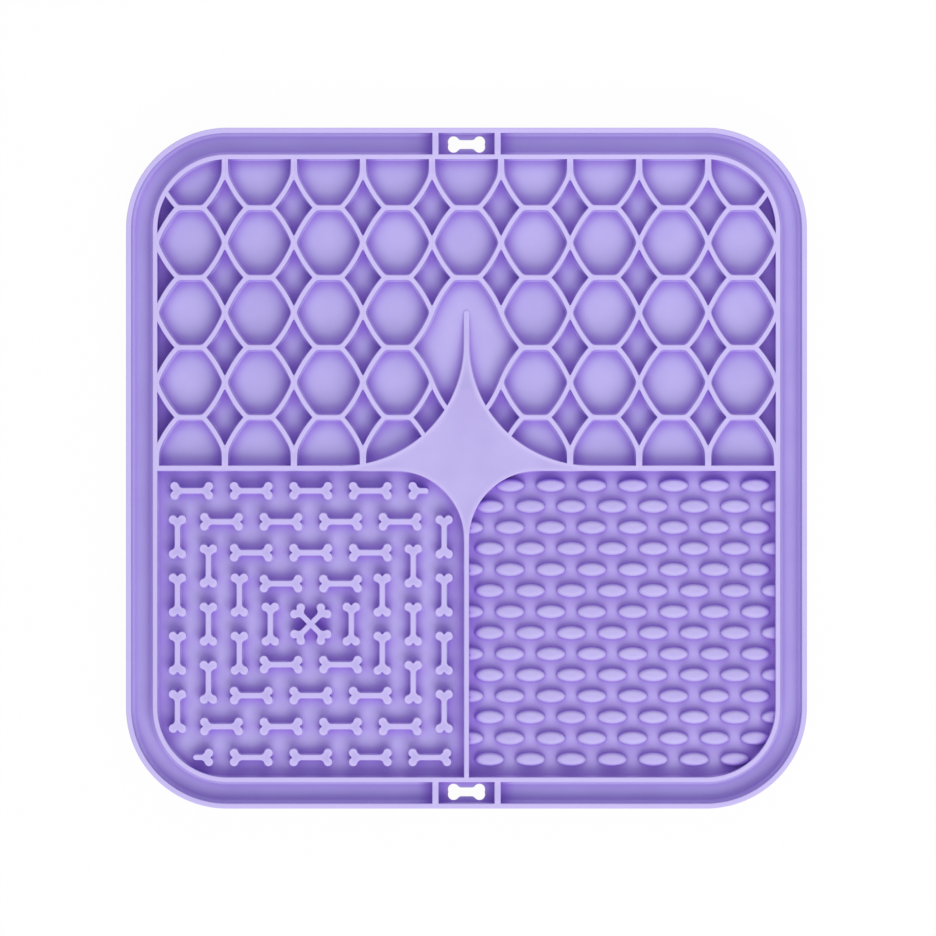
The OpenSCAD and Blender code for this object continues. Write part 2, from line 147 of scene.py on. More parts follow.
class BoneSizes(PropertyGroup):
    knob_dx: length("Length", "Distance between the knobs along a bone", 10.1)
    knob_dy: length("Width", "Distance between the knobs across a bone", 2.68)
    knob_r: length("Knob", "Radius of a bone's knobs", 1.26)
    shaft_w: length("Shaft", "Width of a bone's shaft", 1.6)
    neck_r: length("Neck", "Radius where the shaft runs into a knob", 1.2)
    notch_r: length("Notch", "Radius of the notch between two knobs", 0.3)
    stub_gap: length("Stub", "How far a half bone's round end stops short of the middle", 0.4)
    crossed_dx: length("Crossed", "Distance between the knobs along each crossed bone", 11)
    ring_first: length("First ring", "Distance from the maze's centre to its first ring", 11.9)
    ring_step: length("Ring step", "Distance between two rings", 9.1)
    row_step: length("Row step", "Distance between two bones in a row", 17.5)
    column_step: length("Column step", "Distance between two bones in a column", 17.1)
    edge_r: length("Top edge", "Radius on a bone's top edge", 0.2)
    foot_r: length("Foot", "Radius where a bone runs into the floor", 0.27)


class BumpSizes(PropertyGroup):
    oval_len: length("Length", "Length of an oval bump", 8.8)
    oval_w: length("Width", "Width of an oval bump", 4)
    oval_dx: length("Step", "Distance between two bumps in a row", 12.05)
    oval_dy: length("Row step", "Distance between two rows", 6.2)
    first_x: length("First bump", "Distance from the centre to the first bump", 0.7)
    first_y: length("First row", "Distance from the centre to the first row", 5.05)
    fullness: factor("Fullness", "Power of the dome's section", 4)
    sides: number_of("Sides", "Points round a bump", 32)


class CupSizes(PropertyGroup):
    cup_r: length("Radius", "Radius of a cup's lip", 9)
    neck_r: length("Neck", "Radius of a cup's neck", 3.2)
    neck_h: length("Neck height", "Height of the neck under the sheet", 0.7)
    lip_t: length("Lip", "Thickness of a cup's lip", 0.5)
    land: length("Land", "Width of the flat ring that the lip rests on", 0.6)
    hollow: length("Hollow", "Depth of the hollow under a cup", 1.3)
    step: length("Step", "Distance between two cups", 31)
    margin: length("Margin", "Least distance from a lip to the edge of the mat", 5)
    sides: number_of("Sides", "Points round a cup", 64)


class FinishSettings(PropertyGroup):
    lilac: tint("Lilac", "Colour of the silicone, sRGB hex", "#bbb5e6")
    deep_lilac: tint("Deep lilac", "Its slightly deeper clouds, sRGB hex", "#b3abe0")
    # Painted shade: the recess colour is painted in where little sky is seen, beside walls and in corners,
    # where shade falls
    painted_shade: tint("Recess", "Its colour where little sky is seen, sRGB hex", "#9b7bd8")
    painted_shade_reach: length("Recess reach", "How far away a wall still deepens the colour beside it", 4.5)
    # Painted light: the thin colour is painted on thin walls and edges, a paler tone that stands in for light
    # passing through them
    thin: tint("Thin", "Its colour where it is thin, sRGB hex", "#c5bfec")
    painted_light_depth: length("Thin depth", "Thickness below which the silicone looks paler", 1.5)
    glow: FloatVectorProperty(
        name="Glow", description="How far red, green and blue light travels inside", size=3,
        default=(1.6 * MM, 1.1 * MM, 1.9 * MM), unit="LENGTH", precision=5,
    )
    grain: length("Grain", "Size of the mould's fine grain", 0.22)
    cloud: length("Cloud", "Size of the faint colour clouds", 14)
    grain_depth: length("Grain depth", "Depth of the mould's fine grain", 0.012)
    roughness: factor("Roughness", "Roughness of the matte surface", 0.56)


class StageSettings(PropertyGroup):
    view_w: length("View width", "Width that the camera sees at the mat's top", 274.9)
    view_x: length("View right", "How far the camera stands to the right of the mat's centre", 0.44)
    view_y: length("View far", "How far the camera stands past the mat's centre", 0.06)
    camera_h: length("Camera height", "Height of the camera above the mat's top", 2000)
    softbox_w: length("Softbox width", "Width of the softbox on the near side", 1300)
    softbox_h: length("Softbox height", "Height of the softbox on the near side", 900)
    softbox_far: length("Softbox distance", "Distance of the softbox from the mat", 1500)
    softbox_power: FloatProperty(
        name="Softbox", description="Power of the softbox", default=14.1, unit="POWER",
    )
    fill_w: length("Fill width", "Width of the small fill light on the far side", 260)
    fill_h: length("Fill height", "Height of the small fill light on the far side", 180)
    fill_far: length("Fill distance", "Distance of the fill light from the mat", 340)
    fill_power: FloatProperty(name="Fill", description="Power of the fill light", default=0.18, unit="POWER")
    softbox_tilt: FloatProperty(
        name="Elevation", description="Angle of both lights above the floor", default=math.radians(48),
        unit="ROTATION",
    )
    softbox_turn: FloatProperty(
        name="Azimuth", description="Turn of both lights from the middle line to the right",
        default=math.radians(14), unit="ROTATION",
    )
    softbox_colour: tint("Light colour", "Colour of both lights, sRGB hex", "#fffdf5")
    room: factor("Room", "Strength of the light from all sides", 0.65)
    room_colour: tint("Room colour", "Colour of the light from all sides, sRGB hex", "#f6ebff")
    backdrop: factor("White", "Share of pure white in the floor's look", 0.97)


GROUPS = {
    "mat_rims": RimSizes,
    "mat_star": StarSizes,
    "mat_honeycomb": HoneycombSizes,
    "mat_bones": BoneSizes,
    "mat_bumps": BumpSizes,
    "mat_cups": CupSizes,
    "mat_finish": FinishSettings,
    "mat_stage": StageSettings,
}


class Skin:
    """Points, four-sided faces and caps of one piece, gathered strip by strip."""

    def __init__(self):
        self.points = []
        self.quads = []
        self.caps = []
        self.count = 0

    def add(self, points, closed=True, cap_first=False, cap_last=False):
        """Faces between neighbouring rings of points[item, ring, step], closed round each ring or not.

        With rings that run against the clock and rise or close in, the faces point outwards. A cap is
        one flat face on each item's first or last ring."""
        items, rings, steps = points.shape[:3]
        ring, step = np.meshgrid(np.arange(rings - 1), np.arange(steps - (not closed)), indexing="ij")
        after = (step + 1) % steps
        here = ring * steps
        quads = np.stack([here + step, here + after, here + steps + after, here + steps + step], axis=-1)
        starts = self.count + np.arange(items)[:, None, None] * rings * steps
        self.quads.append((starts + quads.reshape(1, -1, 4)).reshape(-1, 4))
        edge = starts[:, :, 0] + np.arange(steps)
        if cap_first:
            self.caps.extend(edge[:, ::-1])
        if cap_last:
            self.caps.extend(edge + (rings - 1) * steps)
        self.points.append(points.reshape(-1, 3))
        self.count += items * rings * steps

    def piece(self, name, node):
        """Makes the mesh, which rides on the mat's one body and stands for the CAD node."""
        points = np.concatenate(self.points)
        loops = np.concatenate([np.concatenate(self.quads).ravel(), *self.caps]).astype(np.int32)
        sizes = np.array([4] * sum(len(q) for q in self.quads) + [len(cap) for cap in self.caps])
        mesh = bpy.data.meshes.new(name)
        mesh.vertices.add(len(points))
        mesh.vertices.foreach_set("co", points.astype(np.float32).ravel())
        mesh.loops.add(len(loops))
        mesh.loops.foreach_set("vertex_index", loops)
        mesh.polygons.add(len(sizes))
        mesh.polygons.foreach_set("loop_start", (np.cumsum(sizes) - sizes).astype(np.int32))
        mesh.polygons.foreach_set("use_smooth", np.ones(len(sizes), dtype=bool))
        mesh.update(calc_edges=True)
        if mesh.validate():
            raise RuntimeError(f"{name} has faces that aren't sound")
        piece = bpy.data.objects.new(name, mesh)
        bpy.context.scene.collection.objects.link(piece)
        mesh.materials.append(silicone_material())
        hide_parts(node)
        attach(piece, "root")
        return piece


def quarter(start, end, steps=EDGE_STEPS):
    """Cosine and sine at even steps from one angle to another, in degrees."""
    angle = np.radians(np.linspace(start, end, steps + 1))
    return np.cos(angle), np.sin(angle)


def edge_and_foot(top, floor, edge_r, foot_r, draft=0.0):
    """Section of a wall's side from its foot to its flat top, as pairs of offset and height.

    The foot is a quarter circle that starts flat on the floor and ends upright, the top edge a quarter
    circle that starts upright and ends flat. The offset is 0 on the face at the top edge, more outside
    it. One more pair behind the edge keeps the top's shading flat."""
    cos, sin = quarter(270, 180)
    foot = np.stack([draft + foot_r + foot_r * cos, floor + foot_r + foot_r * sin], axis=-1)
    cos, sin = quarter(0, 90)
    edge = np.stack([edge_r * cos - edge_r, top - edge_r + edge_r * sin], axis=-1)
    flat = [[-edge_r - BITE / 4, top]]
    return np.concatenate([[[foot[0, 0], floor - HAIR]], foot + [0, HAIR / 2], edge, flat])


def outward(outline):
    """How each point of a closed outline, against the clock, moves when its edges move out by one.

    It is the sum of the two edges' unit normals over one plus their product, which mitres corners."""
    edge = np.roll(outline, -1, axis=0) - outline
    edge /= np.linalg.norm(edge, axis=1, keepdims=True)
    after = np.stack([edge[:, 1], -edge[:, 0]], axis=-1)
    before = np.roll(after, 1, axis=0)
    return (before + after) / (1 + (before * after).sum(axis=1, keepdims=True))


def stand(outline, section):
    """Rings of a stud: each ring is the outline moved out by the section's offset, at its height."""
    flat = outline + section[:, :1, None] * outward(outline)
    height = np.broadcast_to(section[:, 1:, None], flat[..., :1].shape)
    return np.concatenate([flat, height], axis=-1)


def arc(centre, r, start, end, steps):
    """Points on a circle at even steps from one angle to another, in degrees."""
    cos, sin = quarter(start, end, steps)
    return np.stack([centre[0] + r * cos, centre[1] + r * sin], axis=-1)


def turned(points, degrees):
    """The points turned about the origin."""
    a = math.radians(degrees)
    return points @ np.array([[math.cos(a), math.sin(a)], [-math.sin(a), math.cos(a)]])


def field(scene):
    """Half width and corner radius of the field inside the inner rim."""
    rims = scene.mat_rims
    inset = rims.rim_t + rims.gutter_w + rims.inner_rim_t
    return HALF_W - inset, rims.corner_r - inset


def rounded_square(half, r, steps):
    """Closed loops of a square with round corners, one for each half width and radius, against the clock.

    In each quarter turn the point is the corner's centre, half - r from both middle lines, plus r times
    the direction."""
    start = np.repeat(np.arange(4), steps + 1)
    angle = np.radians(90 * start + np.tile(np.linspace(0, 90, steps + 1), 4))
    sign_x = np.where((start == 0) | (start == 3), 1, -1)
    sign_y = np.where(start < 2, 1, -1)
    half, r = half[:, None], r[:, None]
    x = sign_x * (half - r) + r * np.cos(angle)
    y = sign_y * (half - r) + r * np.sin(angle)
    return np.stack([x, y], axis=-1)


def half_loop(half, r, steps, bay, side):
    """The same loops cut open at the two bays: the right part runs from the near bay to the far one."""
    loop = rounded_square(half, r, steps)
    right = np.concatenate([loop[:, 3 * (steps + 1):], loop[:, :steps + 1]], axis=1)
    near = np.stack([np.full_like(half, bay), -half], axis=-1)[:, None]
    far = np.stack([np.full_like(half, bay), half], axis=-1)[:, None]
    right = np.concatenate([near, right, far], axis=1)
    return right if side > 0 else right[:, ::-1] * [-1, 1]


def raise_rings(rings, heights):
    """Rings of flat points lifted to their heights, as one item."""
    high = np.broadcast_to(heights[:, None, None], rings[..., :1].shape)
    return np.concatenate([rings, high], axis=-1)[None]


class RimOperator(Operator):
    """Makes the two rims, the gutter's coves and its bars"""

    bl_idname = "lick_mat.rims"
    bl_label = "Rims and gutter"

    def execute(self, context):
        s = context.scene.mat_rims
        gutter_half = HALF_W - s.rim_t
        inner_half = gutter_half - s.gutter_w
        bay = s.bar_x
        inner_r = s.corner_r - s.rim_t - s.gutter_w
        plain = edge_and_foot(TOP_Z, FLOOR_Z, s.edge_r, s.foot_r)
        # The outer face stays within the mat's box, so it has no foot
        side = edge_and_foot(TOP_Z, FLOOR_Z, s.edge_r, HAIR, -HAIR)

        outer = Skin()
        self.wall(outer, HALF_W, s.corner_r, s.rim_t, side, plain, s.corner_steps)
        self.coves(outer, gutter_half, s.corner_r - s.rim_t, -1, s, bay)
        outer.piece("silicone_outer_rim", "outer_rim")

        inner = Skin()
        self.wall(inner, inner_half, inner_r, s.inner_rim_t, plain, plain, s.corner_steps)
        self.coves(inner, inner_half, inner_r, 1, s, bay)
        inner.piece("silicone_inner_rim", "inner_rim")

        bars = Skin()
        for x in (-s.bar_x, s.bar_x):
            for far in (-1, 1):
                start = [x, far * (inner_half - BITE)]
                end = [x, far * (gutter_half + BITE)]
                bars.add(wall_run(start, end, s.bar_t, plain, 3 * HAIR), closed=False)
        bars.piece("silicone_gutter_bars", "gutter_bars")
        return {"FINISHED"}

    @staticmethod
    def wall(skin, half, r, thickness, outside, inside, steps):
        """A rim's section carried round a square with round corners, up its outside and down its inside."""
        offset = np.concatenate([outside[:, 0], (-thickness - inside[:, 0])[::-1]])
        height = np.concatenate([outside[:, 1], inside[::-1, 1]])
        rings = rounded_square(half + offset, r + offset, steps)
        skin.add(raise_rings(rings, height))

    @staticmethod
    def coves(skin, half, r, out, s, bay):
        """A quarter circle that runs from the floor up the rim, outwards of it or inwards, bay to bay."""
        cos, sin = quarter(270, 180, COVE_STEPS)
        offset = s.cove_r + s.cove_r * cos - 2 * HAIR
        height = FLOOR_Z + HAIR + s.cove_r + s.cove_r * sin
        if out < 0:
            offset, height = -offset[::-1], height[::-1]
        for end in (-1, 1):
            rings = half_loop(half + offset, r + offset, s.corner_steps, bay, end)
            skin.add(raise_rings(rings, height), closed=False)


def wall_run(start, end, thickness, section, lower=0.0):
    """A straight wall: the section of its side, mirrored, carried from one end to the other.

    lower drops its top a little below the walls that it runs into."""
    start, end = np.array(start), np.array(end)
    along = (end - start) / np.linalg.norm(end - start)
    across = np.array([along[1], -along[0]])
    offset = np.concatenate([thickness / 2 + section[:, 0], (-thickness / 2 - section[:, 0])[::-1]])
    height = np.concatenate([section[:, 1], section[::-1, 1]]) - lower
    ends = np.stack([start, end])
    flat = ends[None] + offset[:, None, None] * across
    return raise_rings(flat, height)


class StarOperator(Operator):
    """Makes the four-pointed star with its sloping spike, and the three ribs"""

    bl_idname = "lick_mat.star"
    bl_label = "Star and ribs"

    def execute(self, context):
        scene = context.scene
        s = scene.mat_star
        rims = scene.mat_rims
        half, _ = field(scene)
        section = edge_and_foot(TOP_Z, FLOOR_Z, rims.edge_r, rims.foot_r)

        star = Skin()
        star.add(self.rings(s, section))
        star.add(self.crown(s, section), closed=False)
        star.piece("silicone_star", "centre_star")

        runs = {
            "left_rib": ([-half - BITE, 0], [3 * BITE - STAR_X, 0], s.cross_rib_t),
            "right_rib": ([STAR_X - 3 * BITE, 0], [half + BITE, 0], s.cross_rib_t),
            "lower_rib": ([0, 3 * BITE - STAR_NEAR_Y], [0, -half - BITE], s.lower_rib_t),
        }
        for node, (start, end, thickness) in runs.items():
            rib = Skin()
            # A little thinner and lower than the star, so that no two faces share a plane
            rib.add(wall_run(start, end, thickness - 4 * HAIR, section, 2 * HAIR), closed=False)
            rib.piece(f"silicone_{node}", node)
        return {"FINISHED"}

    @staticmethod
    def right_side(s):
        """Right half of the outline, from the near tip to the spike's tip.

        Each flank is a quarter circle that touches the two ribs' faces, and the spike is straight with
        a round end."""
        near_r = STAR_NEAR_Y - s.cross_rib_t / 2
        near_x = s.lower_rib_t / 2 + near_r
        far_r = STAR_X - s.spike_t / 2
        far_y = s.cross_rib_t / 2 + far_r
        near = arc([near_x, -STAR_NEAR_Y], near_r, 180, 90, s.flank_steps)
        far = arc([STAR_X, far_y], far_r, 270, 180, s.flank_steps)
        rise = np.linspace(far_y, SPIKE_Y - s.spike_t / 2, SPIKE_STEPS + 1)[1:-1]
        spike = np.stack([np.full_like(rise, s.spike_t / 2), rise], axis=-1)
        tip = arc([0, SPIKE_Y - s.spike_t / 2], s.spike_t / 2, 0, TIP_LAST, TIP_STEPS)
        return np.concatenate([near, [[STAR_X, -s.cross_rib_t / 2]], far, spike, tip])

    @classmethod
    def rings(cls, s, section):
        """The outline moved out by the section's offset, with heights that shrink along the spike."""
        side = cls.right_side(s)
        outline = np.concatenate([side, side[::-1] * [-1, 1]])
        rings = stand(outline, section)
        rings[..., 2] = cls.sloped(s, rings[..., 1], rings[..., 2])
        return rings[None]

    @classmethod
    def crown(cls, s, section):
        """The flat top, as strips between mirrored points of the innermost ring."""
        top = cls.rings(s, section)[0, -1]
        right = top[:len(top) // 2]
        left = top[len(top) // 2:][::-1]
        return np.stack([right, (right + left) / 2, left])[None]

    @staticmethod
    def sloped(s, y, z):
        """Heights above the floor times the share that the spike keeps at y, from 1 down to its tip's."""
        tip_share = s.spike_tip_h / (TOP_Z - FLOOR_Z)
        along = np.clip((y - SPIKE_Y + s.spike_slope) / s.spike_slope, 0, 1)
        return FLOOR_Z + (z - FLOOR_Z) * (1 + (tip_share - 1) * along)


def to_line(p, u, normal, reach):
    """How far each ray from p along u runs before the line normal . q = reach, if it runs towards it."""
    speed = u @ np.array(normal)
    distance = (reach - np.dot(p, normal)) / np.where(speed > MM, speed, MM)
    return np.where(speed > MM, distance, FAR)


def through_circle(p, u, centre, r, far):
    """Where each ray crosses a circle: -b + root of b squared less the power of p, or -b less that root.

    A ray that misses gives FAR."""
    gap = p - np.array(centre)
    b = u @ gap
    square = b * b - (gap @ gap - r * r)
    root = np.sqrt(np.maximum(square, 0))
    distance = -b + root if far else -b - root
    return np.where((square > 0) & (distance > 0), distance, FAR)


class Honeycomb:
    """The net's walls and what bounds them, as distances along rays."""

    def __init__(self, scene):
        s = self.sizes = scene.mat_honeycomb
        star = scene.mat_star
        self.half, self.corner_r = field(scene)
        self.rib_y = star.cross_rib_t / 2
        self.spike_x = star.spike_t / 2
        self.flank_r = STAR_X - self.spike_x
        self.flank_y = self.rib_y + self.flank_r
        # The outermost crossings lie a third of the inner rim's thickness inside it
        self.cell_w = 2 * (self.half + scene.mat_rims.inner_rim_t / 3) / s.cell_columns
        self.crossing_y = self.rib_y + s.cell_foot
        self.last_row = math.floor((self.half - self.crossing_y) / s.cell_h)
        self.last_column = (s.cell_columns - 1) // 2
        chord = np.array([self.cell_w / 2 - s.flat_half, -s.cell_h / 2])
        span = np.linalg.norm(chord)
        self.bow_r = span * span / (8 * s.wall_bow) + s.wall_bow / 2
        bow_out = np.array([-chord[1], chord[0]]) / span
        start = np.array([s.flat_half, s.cell_h / 2])
        self.bow_c = start + chord / 2 - (self.bow_r - s.wall_bow) * bow_out

    def place(self, column, row):
        """Centre of a cell."""
        return np.array([column * self.cell_w, self.crossing_y + row * self.sizes.cell_h])

    def cell_walls(self, p, u, centre, offset, upright):
        """A cell's flat walls and bowed walls; upright is 0 for a whole cell, 1 or -1 for one that is
        open towards the far or the near side, between two upright walls."""
        s = self.sizes
        inset = s.wall_t / 2 + offset
        sides = (1,) if upright < 0 else (-1,) if upright > 0 else (-1, 1)
        walls = []
        for y in sides:
            walls.append(to_line(p, u, (0, y), y * centre[1] + s.cell_h / 2 - inset))
            for x in (-1, 1):
                bow = centre + self.bow_c * [x, y]
                walls.append(through_circle(p, u, bow, self.bow_r - inset, True))
        if upright:
            gap = self.cell_w / 2 - s.upright_t / 2 - offset
            walls += [to_line(p, u, (x, 0), x * centre[0] + gap) for x in (-1, 1)]
        return walls

    def gap_walls(self, p, u, centre, offset):
        """The four bowed walls round a diamond between four cells."""
        r = self.bow_r + self.sizes.wall_t / 2 + offset
        reach = np.array([self.cell_w, self.sizes.cell_h]) / 2 - self.bow_c
        return [
            through_circle(p, u, centre + reach * [x, y], r, False) for x in (-1, 1) for y in (-1, 1)
        ]

    def tall_walls(self, p, u, top, offset):
        """The walls of the tall cell round the spike, on its middle line.

        It is a cell on top, the diamonds beside it and the cell below. Each side's cell wall holds above
        the upper crossing or below the lower one, and a diamond's wall holds between them."""
        s = self.sizes
        low = top - [0, s.cell_h]
        inset = s.wall_t / 2 + offset
        r = self.bow_r + inset
        diamond = top + np.array([self.cell_w, -s.cell_h]) / 2
        reach = np.array([self.cell_w, s.cell_h]) / 2 - self.bow_c
        u = np.stack([np.abs(u[:, 0]), u[:, 1]], axis=-1)
        walls = []
        for centre, y in ((top, 1), (low, -1)):
            cell = through_circle(p, u, centre + self.bow_c * [1, y], self.bow_r - inset, True)
            gap = through_circle(p, u, diamond + reach * [1, y], r, False)
            beyond = y * (p[1] + cell * u[:, 1] - centre[1]) > 0
            walls.append(np.where(beyond, cell, gap))
        walls.append(to_line(p, u, (0, 1), top[1] + s.cell_h / 2 - inset))
        return walls

    def rim(self, p, u, depth):
        """The inner rim's face, moved in by the depth: straight sides, and round corners past them."""
        half, r = self.half + depth, self.corner_r + depth
        sides = ((1, 0), (-1, 0), (0, 1), (0, -1))
        straight = np.minimum.reduce([to_line(p, u, side, half) for side in sides])
        corner = half - r
        hit = p + straight[:, None] * u
        distance = straight
        for x in (-1, 1):
            past = (x * hit[:, 0] > corner) & (hit[:, 1] > corner)
            turn = through_circle(p, u, (x * corner, corner), r, True)
            distance = np.where(past, turn, distance)
        return distance

    def star(self, p, u, depth):
        """The cross rib's face and the star's flanks above it, moved in by the depth."""
        rib = to_line(p, u, (0, -1), depth - self.rib_y)
        side = np.where(p[0] == 0, np.sign(u[:, 0]), np.sign(p[0]))
        folded = u * np.stack([side, np.ones_like(side)], axis=-1)
        start = p * [np.sign(p[0]) or 1, 1]
        gap = start - [STAR_X, self.flank_y]
        b = folded @ gap
        square = b * b - (gap @ gap - (self.flank_r + depth) ** 2)
        flank = np.sqrt(np.maximum(square, 0)) - b
        hit = start + flank[:, None] * folded
        crossed = (square > 0) | (p[0] == 0)
        on_flank = crossed & (flank > 0) & (hit[:, 0] < STAR_X) & (hit[:, 1] < self.flank_y)
        return np.where(on_flank, flank, rib)


def tile(comb, pole, walls, power, steps, slope=None):
    """The skin of one cell, from the middle of its walls' tops down to the floor, round its pole.

    Along each ray from the pole the ring of each offset lies at the soft minimum of the distances to
    the cell's walls, the power mean with a negative power, which rounds the corners; on the tops it is
    the plain minimum, so that neighbours meet. Where the rim, a rib or the star is nearer, the ring
    runs inside it, a little lower than its top."""
    s = comb.sizes
    angle = np.linspace(0, 2 * np.pi, steps, endpoint=False) + np.pi / steps
    u = np.stack([np.cos(angle), np.sin(angle)], axis=-1)
    section = edge_and_foot(TOP_Z, FLOOR_Z, s.edge_r, s.foot_r, s.draft)[::-1]
    # The first ring runs on under the neighbour's top, and the second meets it in the wall's middle
    land = s.wall_t / 2
    tops = [[-land - 3 * BITE / 4, TOP_Z - 8 * HAIR], [BITE / 16 - land, TOP_Z]]
    section = np.concatenate([tops, section[1:]])
    rings = []
    for i, (offset, height) in enumerate(section):
        distances = np.stack(walls(pole, u, offset))
        reach = distances.min(axis=0)
        if i >= len(tops):
            reach = reach * ((distances / reach) ** -power).sum(axis=0) ** (-1 / power)
        depth = BITE + min(max(-offset, 0), BITE)
        body = np.minimum(comb.rim(pole, u, depth), comb.star(pole, u, depth))
        inside = body < reach
        reach = np.minimum(body, reach)
        flat = pole + reach[:, None] * u
        top = np.where(inside, TOP_Z - 3 * HAIR, TOP_Z - HAIR)
        if slope:
            top = np.where(inside & (flat[:, 1] < SPIKE_Y), slope(flat[:, 1], top), top)
        z = FLOOR_Z + (height - FLOOR_Z) * (top - FLOOR_Z) / (TOP_Z - FLOOR_Z)
        rings.append(np.column_stack([flat, z]))
    return np.stack(rings)[None]


class HoneycombOperator(Operator):
    """Makes the honeycomb of whole cells, half cells and diamonds"""

    bl_idname = "lick_mat.honeycomb"
    bl_label = "Honeycomb"

    def execute(self, context):
        scene = context.scene
        comb = Honeycomb(scene)
        s = comb.sizes
        last = comb.last_column
        spike_row = math.floor((SPIKE_Y - comb.crossing_y) / s.cell_h)

        cells = Skin()
        for column in range(-last, last + 1):
            for row in range(1, comb.last_row):
                if column == 0 and spike_row - 1 <= row <= spike_row:
                    continue
                centre = comb.place(column, row)
                walls = self.wall_rule(comb.cell_walls, centre, 0)
                cells.add(tile(comb, centre, walls, s.cell_power, s.cell_steps))
        top = comb.place(0, spike_row)
        pole = np.array([0, SPIKE_Y + BITE])
        walls = self.wall_rule(comb.tall_walls, top)
        slope = self.spike_rule(scene.mat_star)
        cells.add(tile(comb, pole, walls, s.cell_power, 2 * s.cell_steps, slope))
        cells.piece("silicone_cells", "honeycomb_walls")

        ends = Skin()
        for column in range(-last, last + 1):
            for row, open_side in ((0, -1), (comb.last_row, 1)):
                if column == 0 and row == 0:
                    continue
                centre = comb.place(column, row)
                pole = self.end_pole(comb, centre, open_side)
                walls = self.wall_rule(comb.cell_walls, centre, open_side)
                ends.add(tile(comb, pole, walls, s.cell_power, s.cell_steps))
        ends.piece("silicone_half_cells", "honeycomb_walls")

        gaps = Skin()
        for column in range(-last - 1, last + 1):
            for row in range(comb.last_row):
                if column in (-1, 0) and row == spike_row - 1:
                    continue
                centre = comb.place(column + 0.5, row + 0.5)
                pole = self.gap_pole(comb, centre)
                walls = self.wall_rule(comb.gap_walls, centre)
                gaps.add(tile(comb, pole, walls, s.gap_power, s.gap_steps))
        gaps.piece("silicone_diamonds", "honeycomb_walls")
        return {"FINISHED"}

    @staticmethod
    def wall_rule(walls, centre, *more):
        """The walls' distances as a function of a pole, its rays and an offset."""
        def distances(pole, u, offset):
            return walls(pole, u, centre, offset, *more)
        return distances

    @staticmethod
    def spike_rule(star):
        """Top of the skin inside the spike, a little under its slope."""
        def top(y, level):
            return np.maximum(StarOperator.sloped(star, y, level) - 4 * HAIR, FLOOR_Z)
        return top

    @staticmethod
    def end_pole(comb, centre, open_side):
        """A point well inside a half cell, clear of the rim's corners and the star's flanks."""
        reach = comb.sizes.cell_foot * 2 / 3
        pole = centre + [0, -open_side * reach]
        if open_side < 0 and abs(centre[0]) < STAR_X:
            pole = pole + [np.sign(centre[0]) * BITE, reach / 2]
        return pole

    @staticmethod
    def gap_pole(comb, centre):
        """The diamond's centre, or a point beside it where the rim or a flank cuts the diamond."""
        inside = comb.half - 7 * BITE
        pole = np.array([np.clip(centre[0], -inside, inside), centre[1]])
        if abs(centre[0]) < comb.cell_w and centre[1] < comb.cell_w:
            pole = centre + [np.sign(centre[0]) * comb.sizes.cell_foot * 2 / 3, comb.sizes.wall_t]
        return pole


class Quarter:
    """The field's near right quarter: what lies in it, and what is cut short at its edge.

    Points of the near left quarter are tested after they are mirrored about the middle line."""

    def __init__(self, scene):
        star = scene.mat_star
        self.half, self.corner_r = field(scene)
        self.left = star.lower_rib_t / 2
        self.far = -star.cross_rib_t / 2
        self.flank_r = STAR_NEAR_Y - star.cross_rib_t / 2
        self.flank = np.array([self.left + self.flank_r, self.far - self.flank_r])

    def holds(self, points):
        """Which points are clear of the rim, the ribs and the star."""
        x, y = points[..., 0], points[..., 1]
        middle = self.half - self.corner_r
        past = np.hypot(np.maximum(x - middle, 0), np.maximum(-y - middle, 0))
        near = np.hypot(np.maximum(self.flank[0] - x, 0), np.maximum(y - self.flank[1], 0))
        straight = (x > self.left) & (y < self.far) & (x < self.half) & (-y < self.half)
        return straight & (past < self.corner_r) & (near < self.flank_r)

    def clamp(self, points):
        """The points, with those outside the quarter drawn back to just inside what bounds it."""
        x = np.clip(points[..., 0], self.left - BITE, self.half + BITE)
        y = np.clip(points[..., 1], -self.half - BITE, self.far + BITE)
        middle = self.half - self.corner_r
        x, y = self.into_circle(x, y, (middle, -middle), self.corner_r + BITE, (x > middle) & (-y > middle))
        zone = (x < self.flank[0]) & (y > self.flank[1])
        x, y = self.into_circle(x, y, self.flank, self.flank_r + BITE, zone)
        return np.stack([x, y, points[..., 2]], axis=-1)

    @staticmethod
    def into_circle(x, y, centre, r, zone):
        """Points of the zone that lie outside the circle, drawn straight back to it."""
        away = np.hypot(x - centre[0], y - centre[1])
        share = np.where(zone & (away > r), r / np.maximum(away, HAIR), 1)
        return centre[0] + (x - centre[0]) * share, centre[1] + (y - centre[1]) * share


def bone_end(s, dx, w):
    """Right end of a bone, from its shaft's underside round both knobs to the top of its shaft.

    Neck, knob and notch are circles that touch: each centre lies at the sum of two radii from the
    knob's, the neck's one radius above the shaft and the notch's on the bone's middle line."""
    knob = np.array([dx, s.knob_dy]) / 2
    neck_y = w / 2 + s.neck_r
    neck = np.array([knob[0] - math.sqrt((s.neck_r + s.knob_r) ** 2 - (neck_y - knob[1]) ** 2), neck_y])
    notch = np.array([knob[0] + math.sqrt((s.notch_r + s.knob_r) ** 2 - knob[1] ** 2), 0])
    to_neck = math.degrees(math.atan2(*(neck - knob)[::-1]))
    to_notch = math.degrees(math.atan2(*(notch - knob)[::-1]))
    upper = np.concatenate([
        arc(notch, s.notch_r, 180, to_notch + 180, NOTCH_STEPS)[:-1],
        arc(knob, s.knob_r, to_notch, to_neck, KNOB_STEPS)[:-1],
        arc(neck, s.neck_r, to_neck + 180, 270, NECK_STEPS),
    ])
    lower = upper[:0:-1] * [1, -1]
    return np.concatenate([lower, upper])


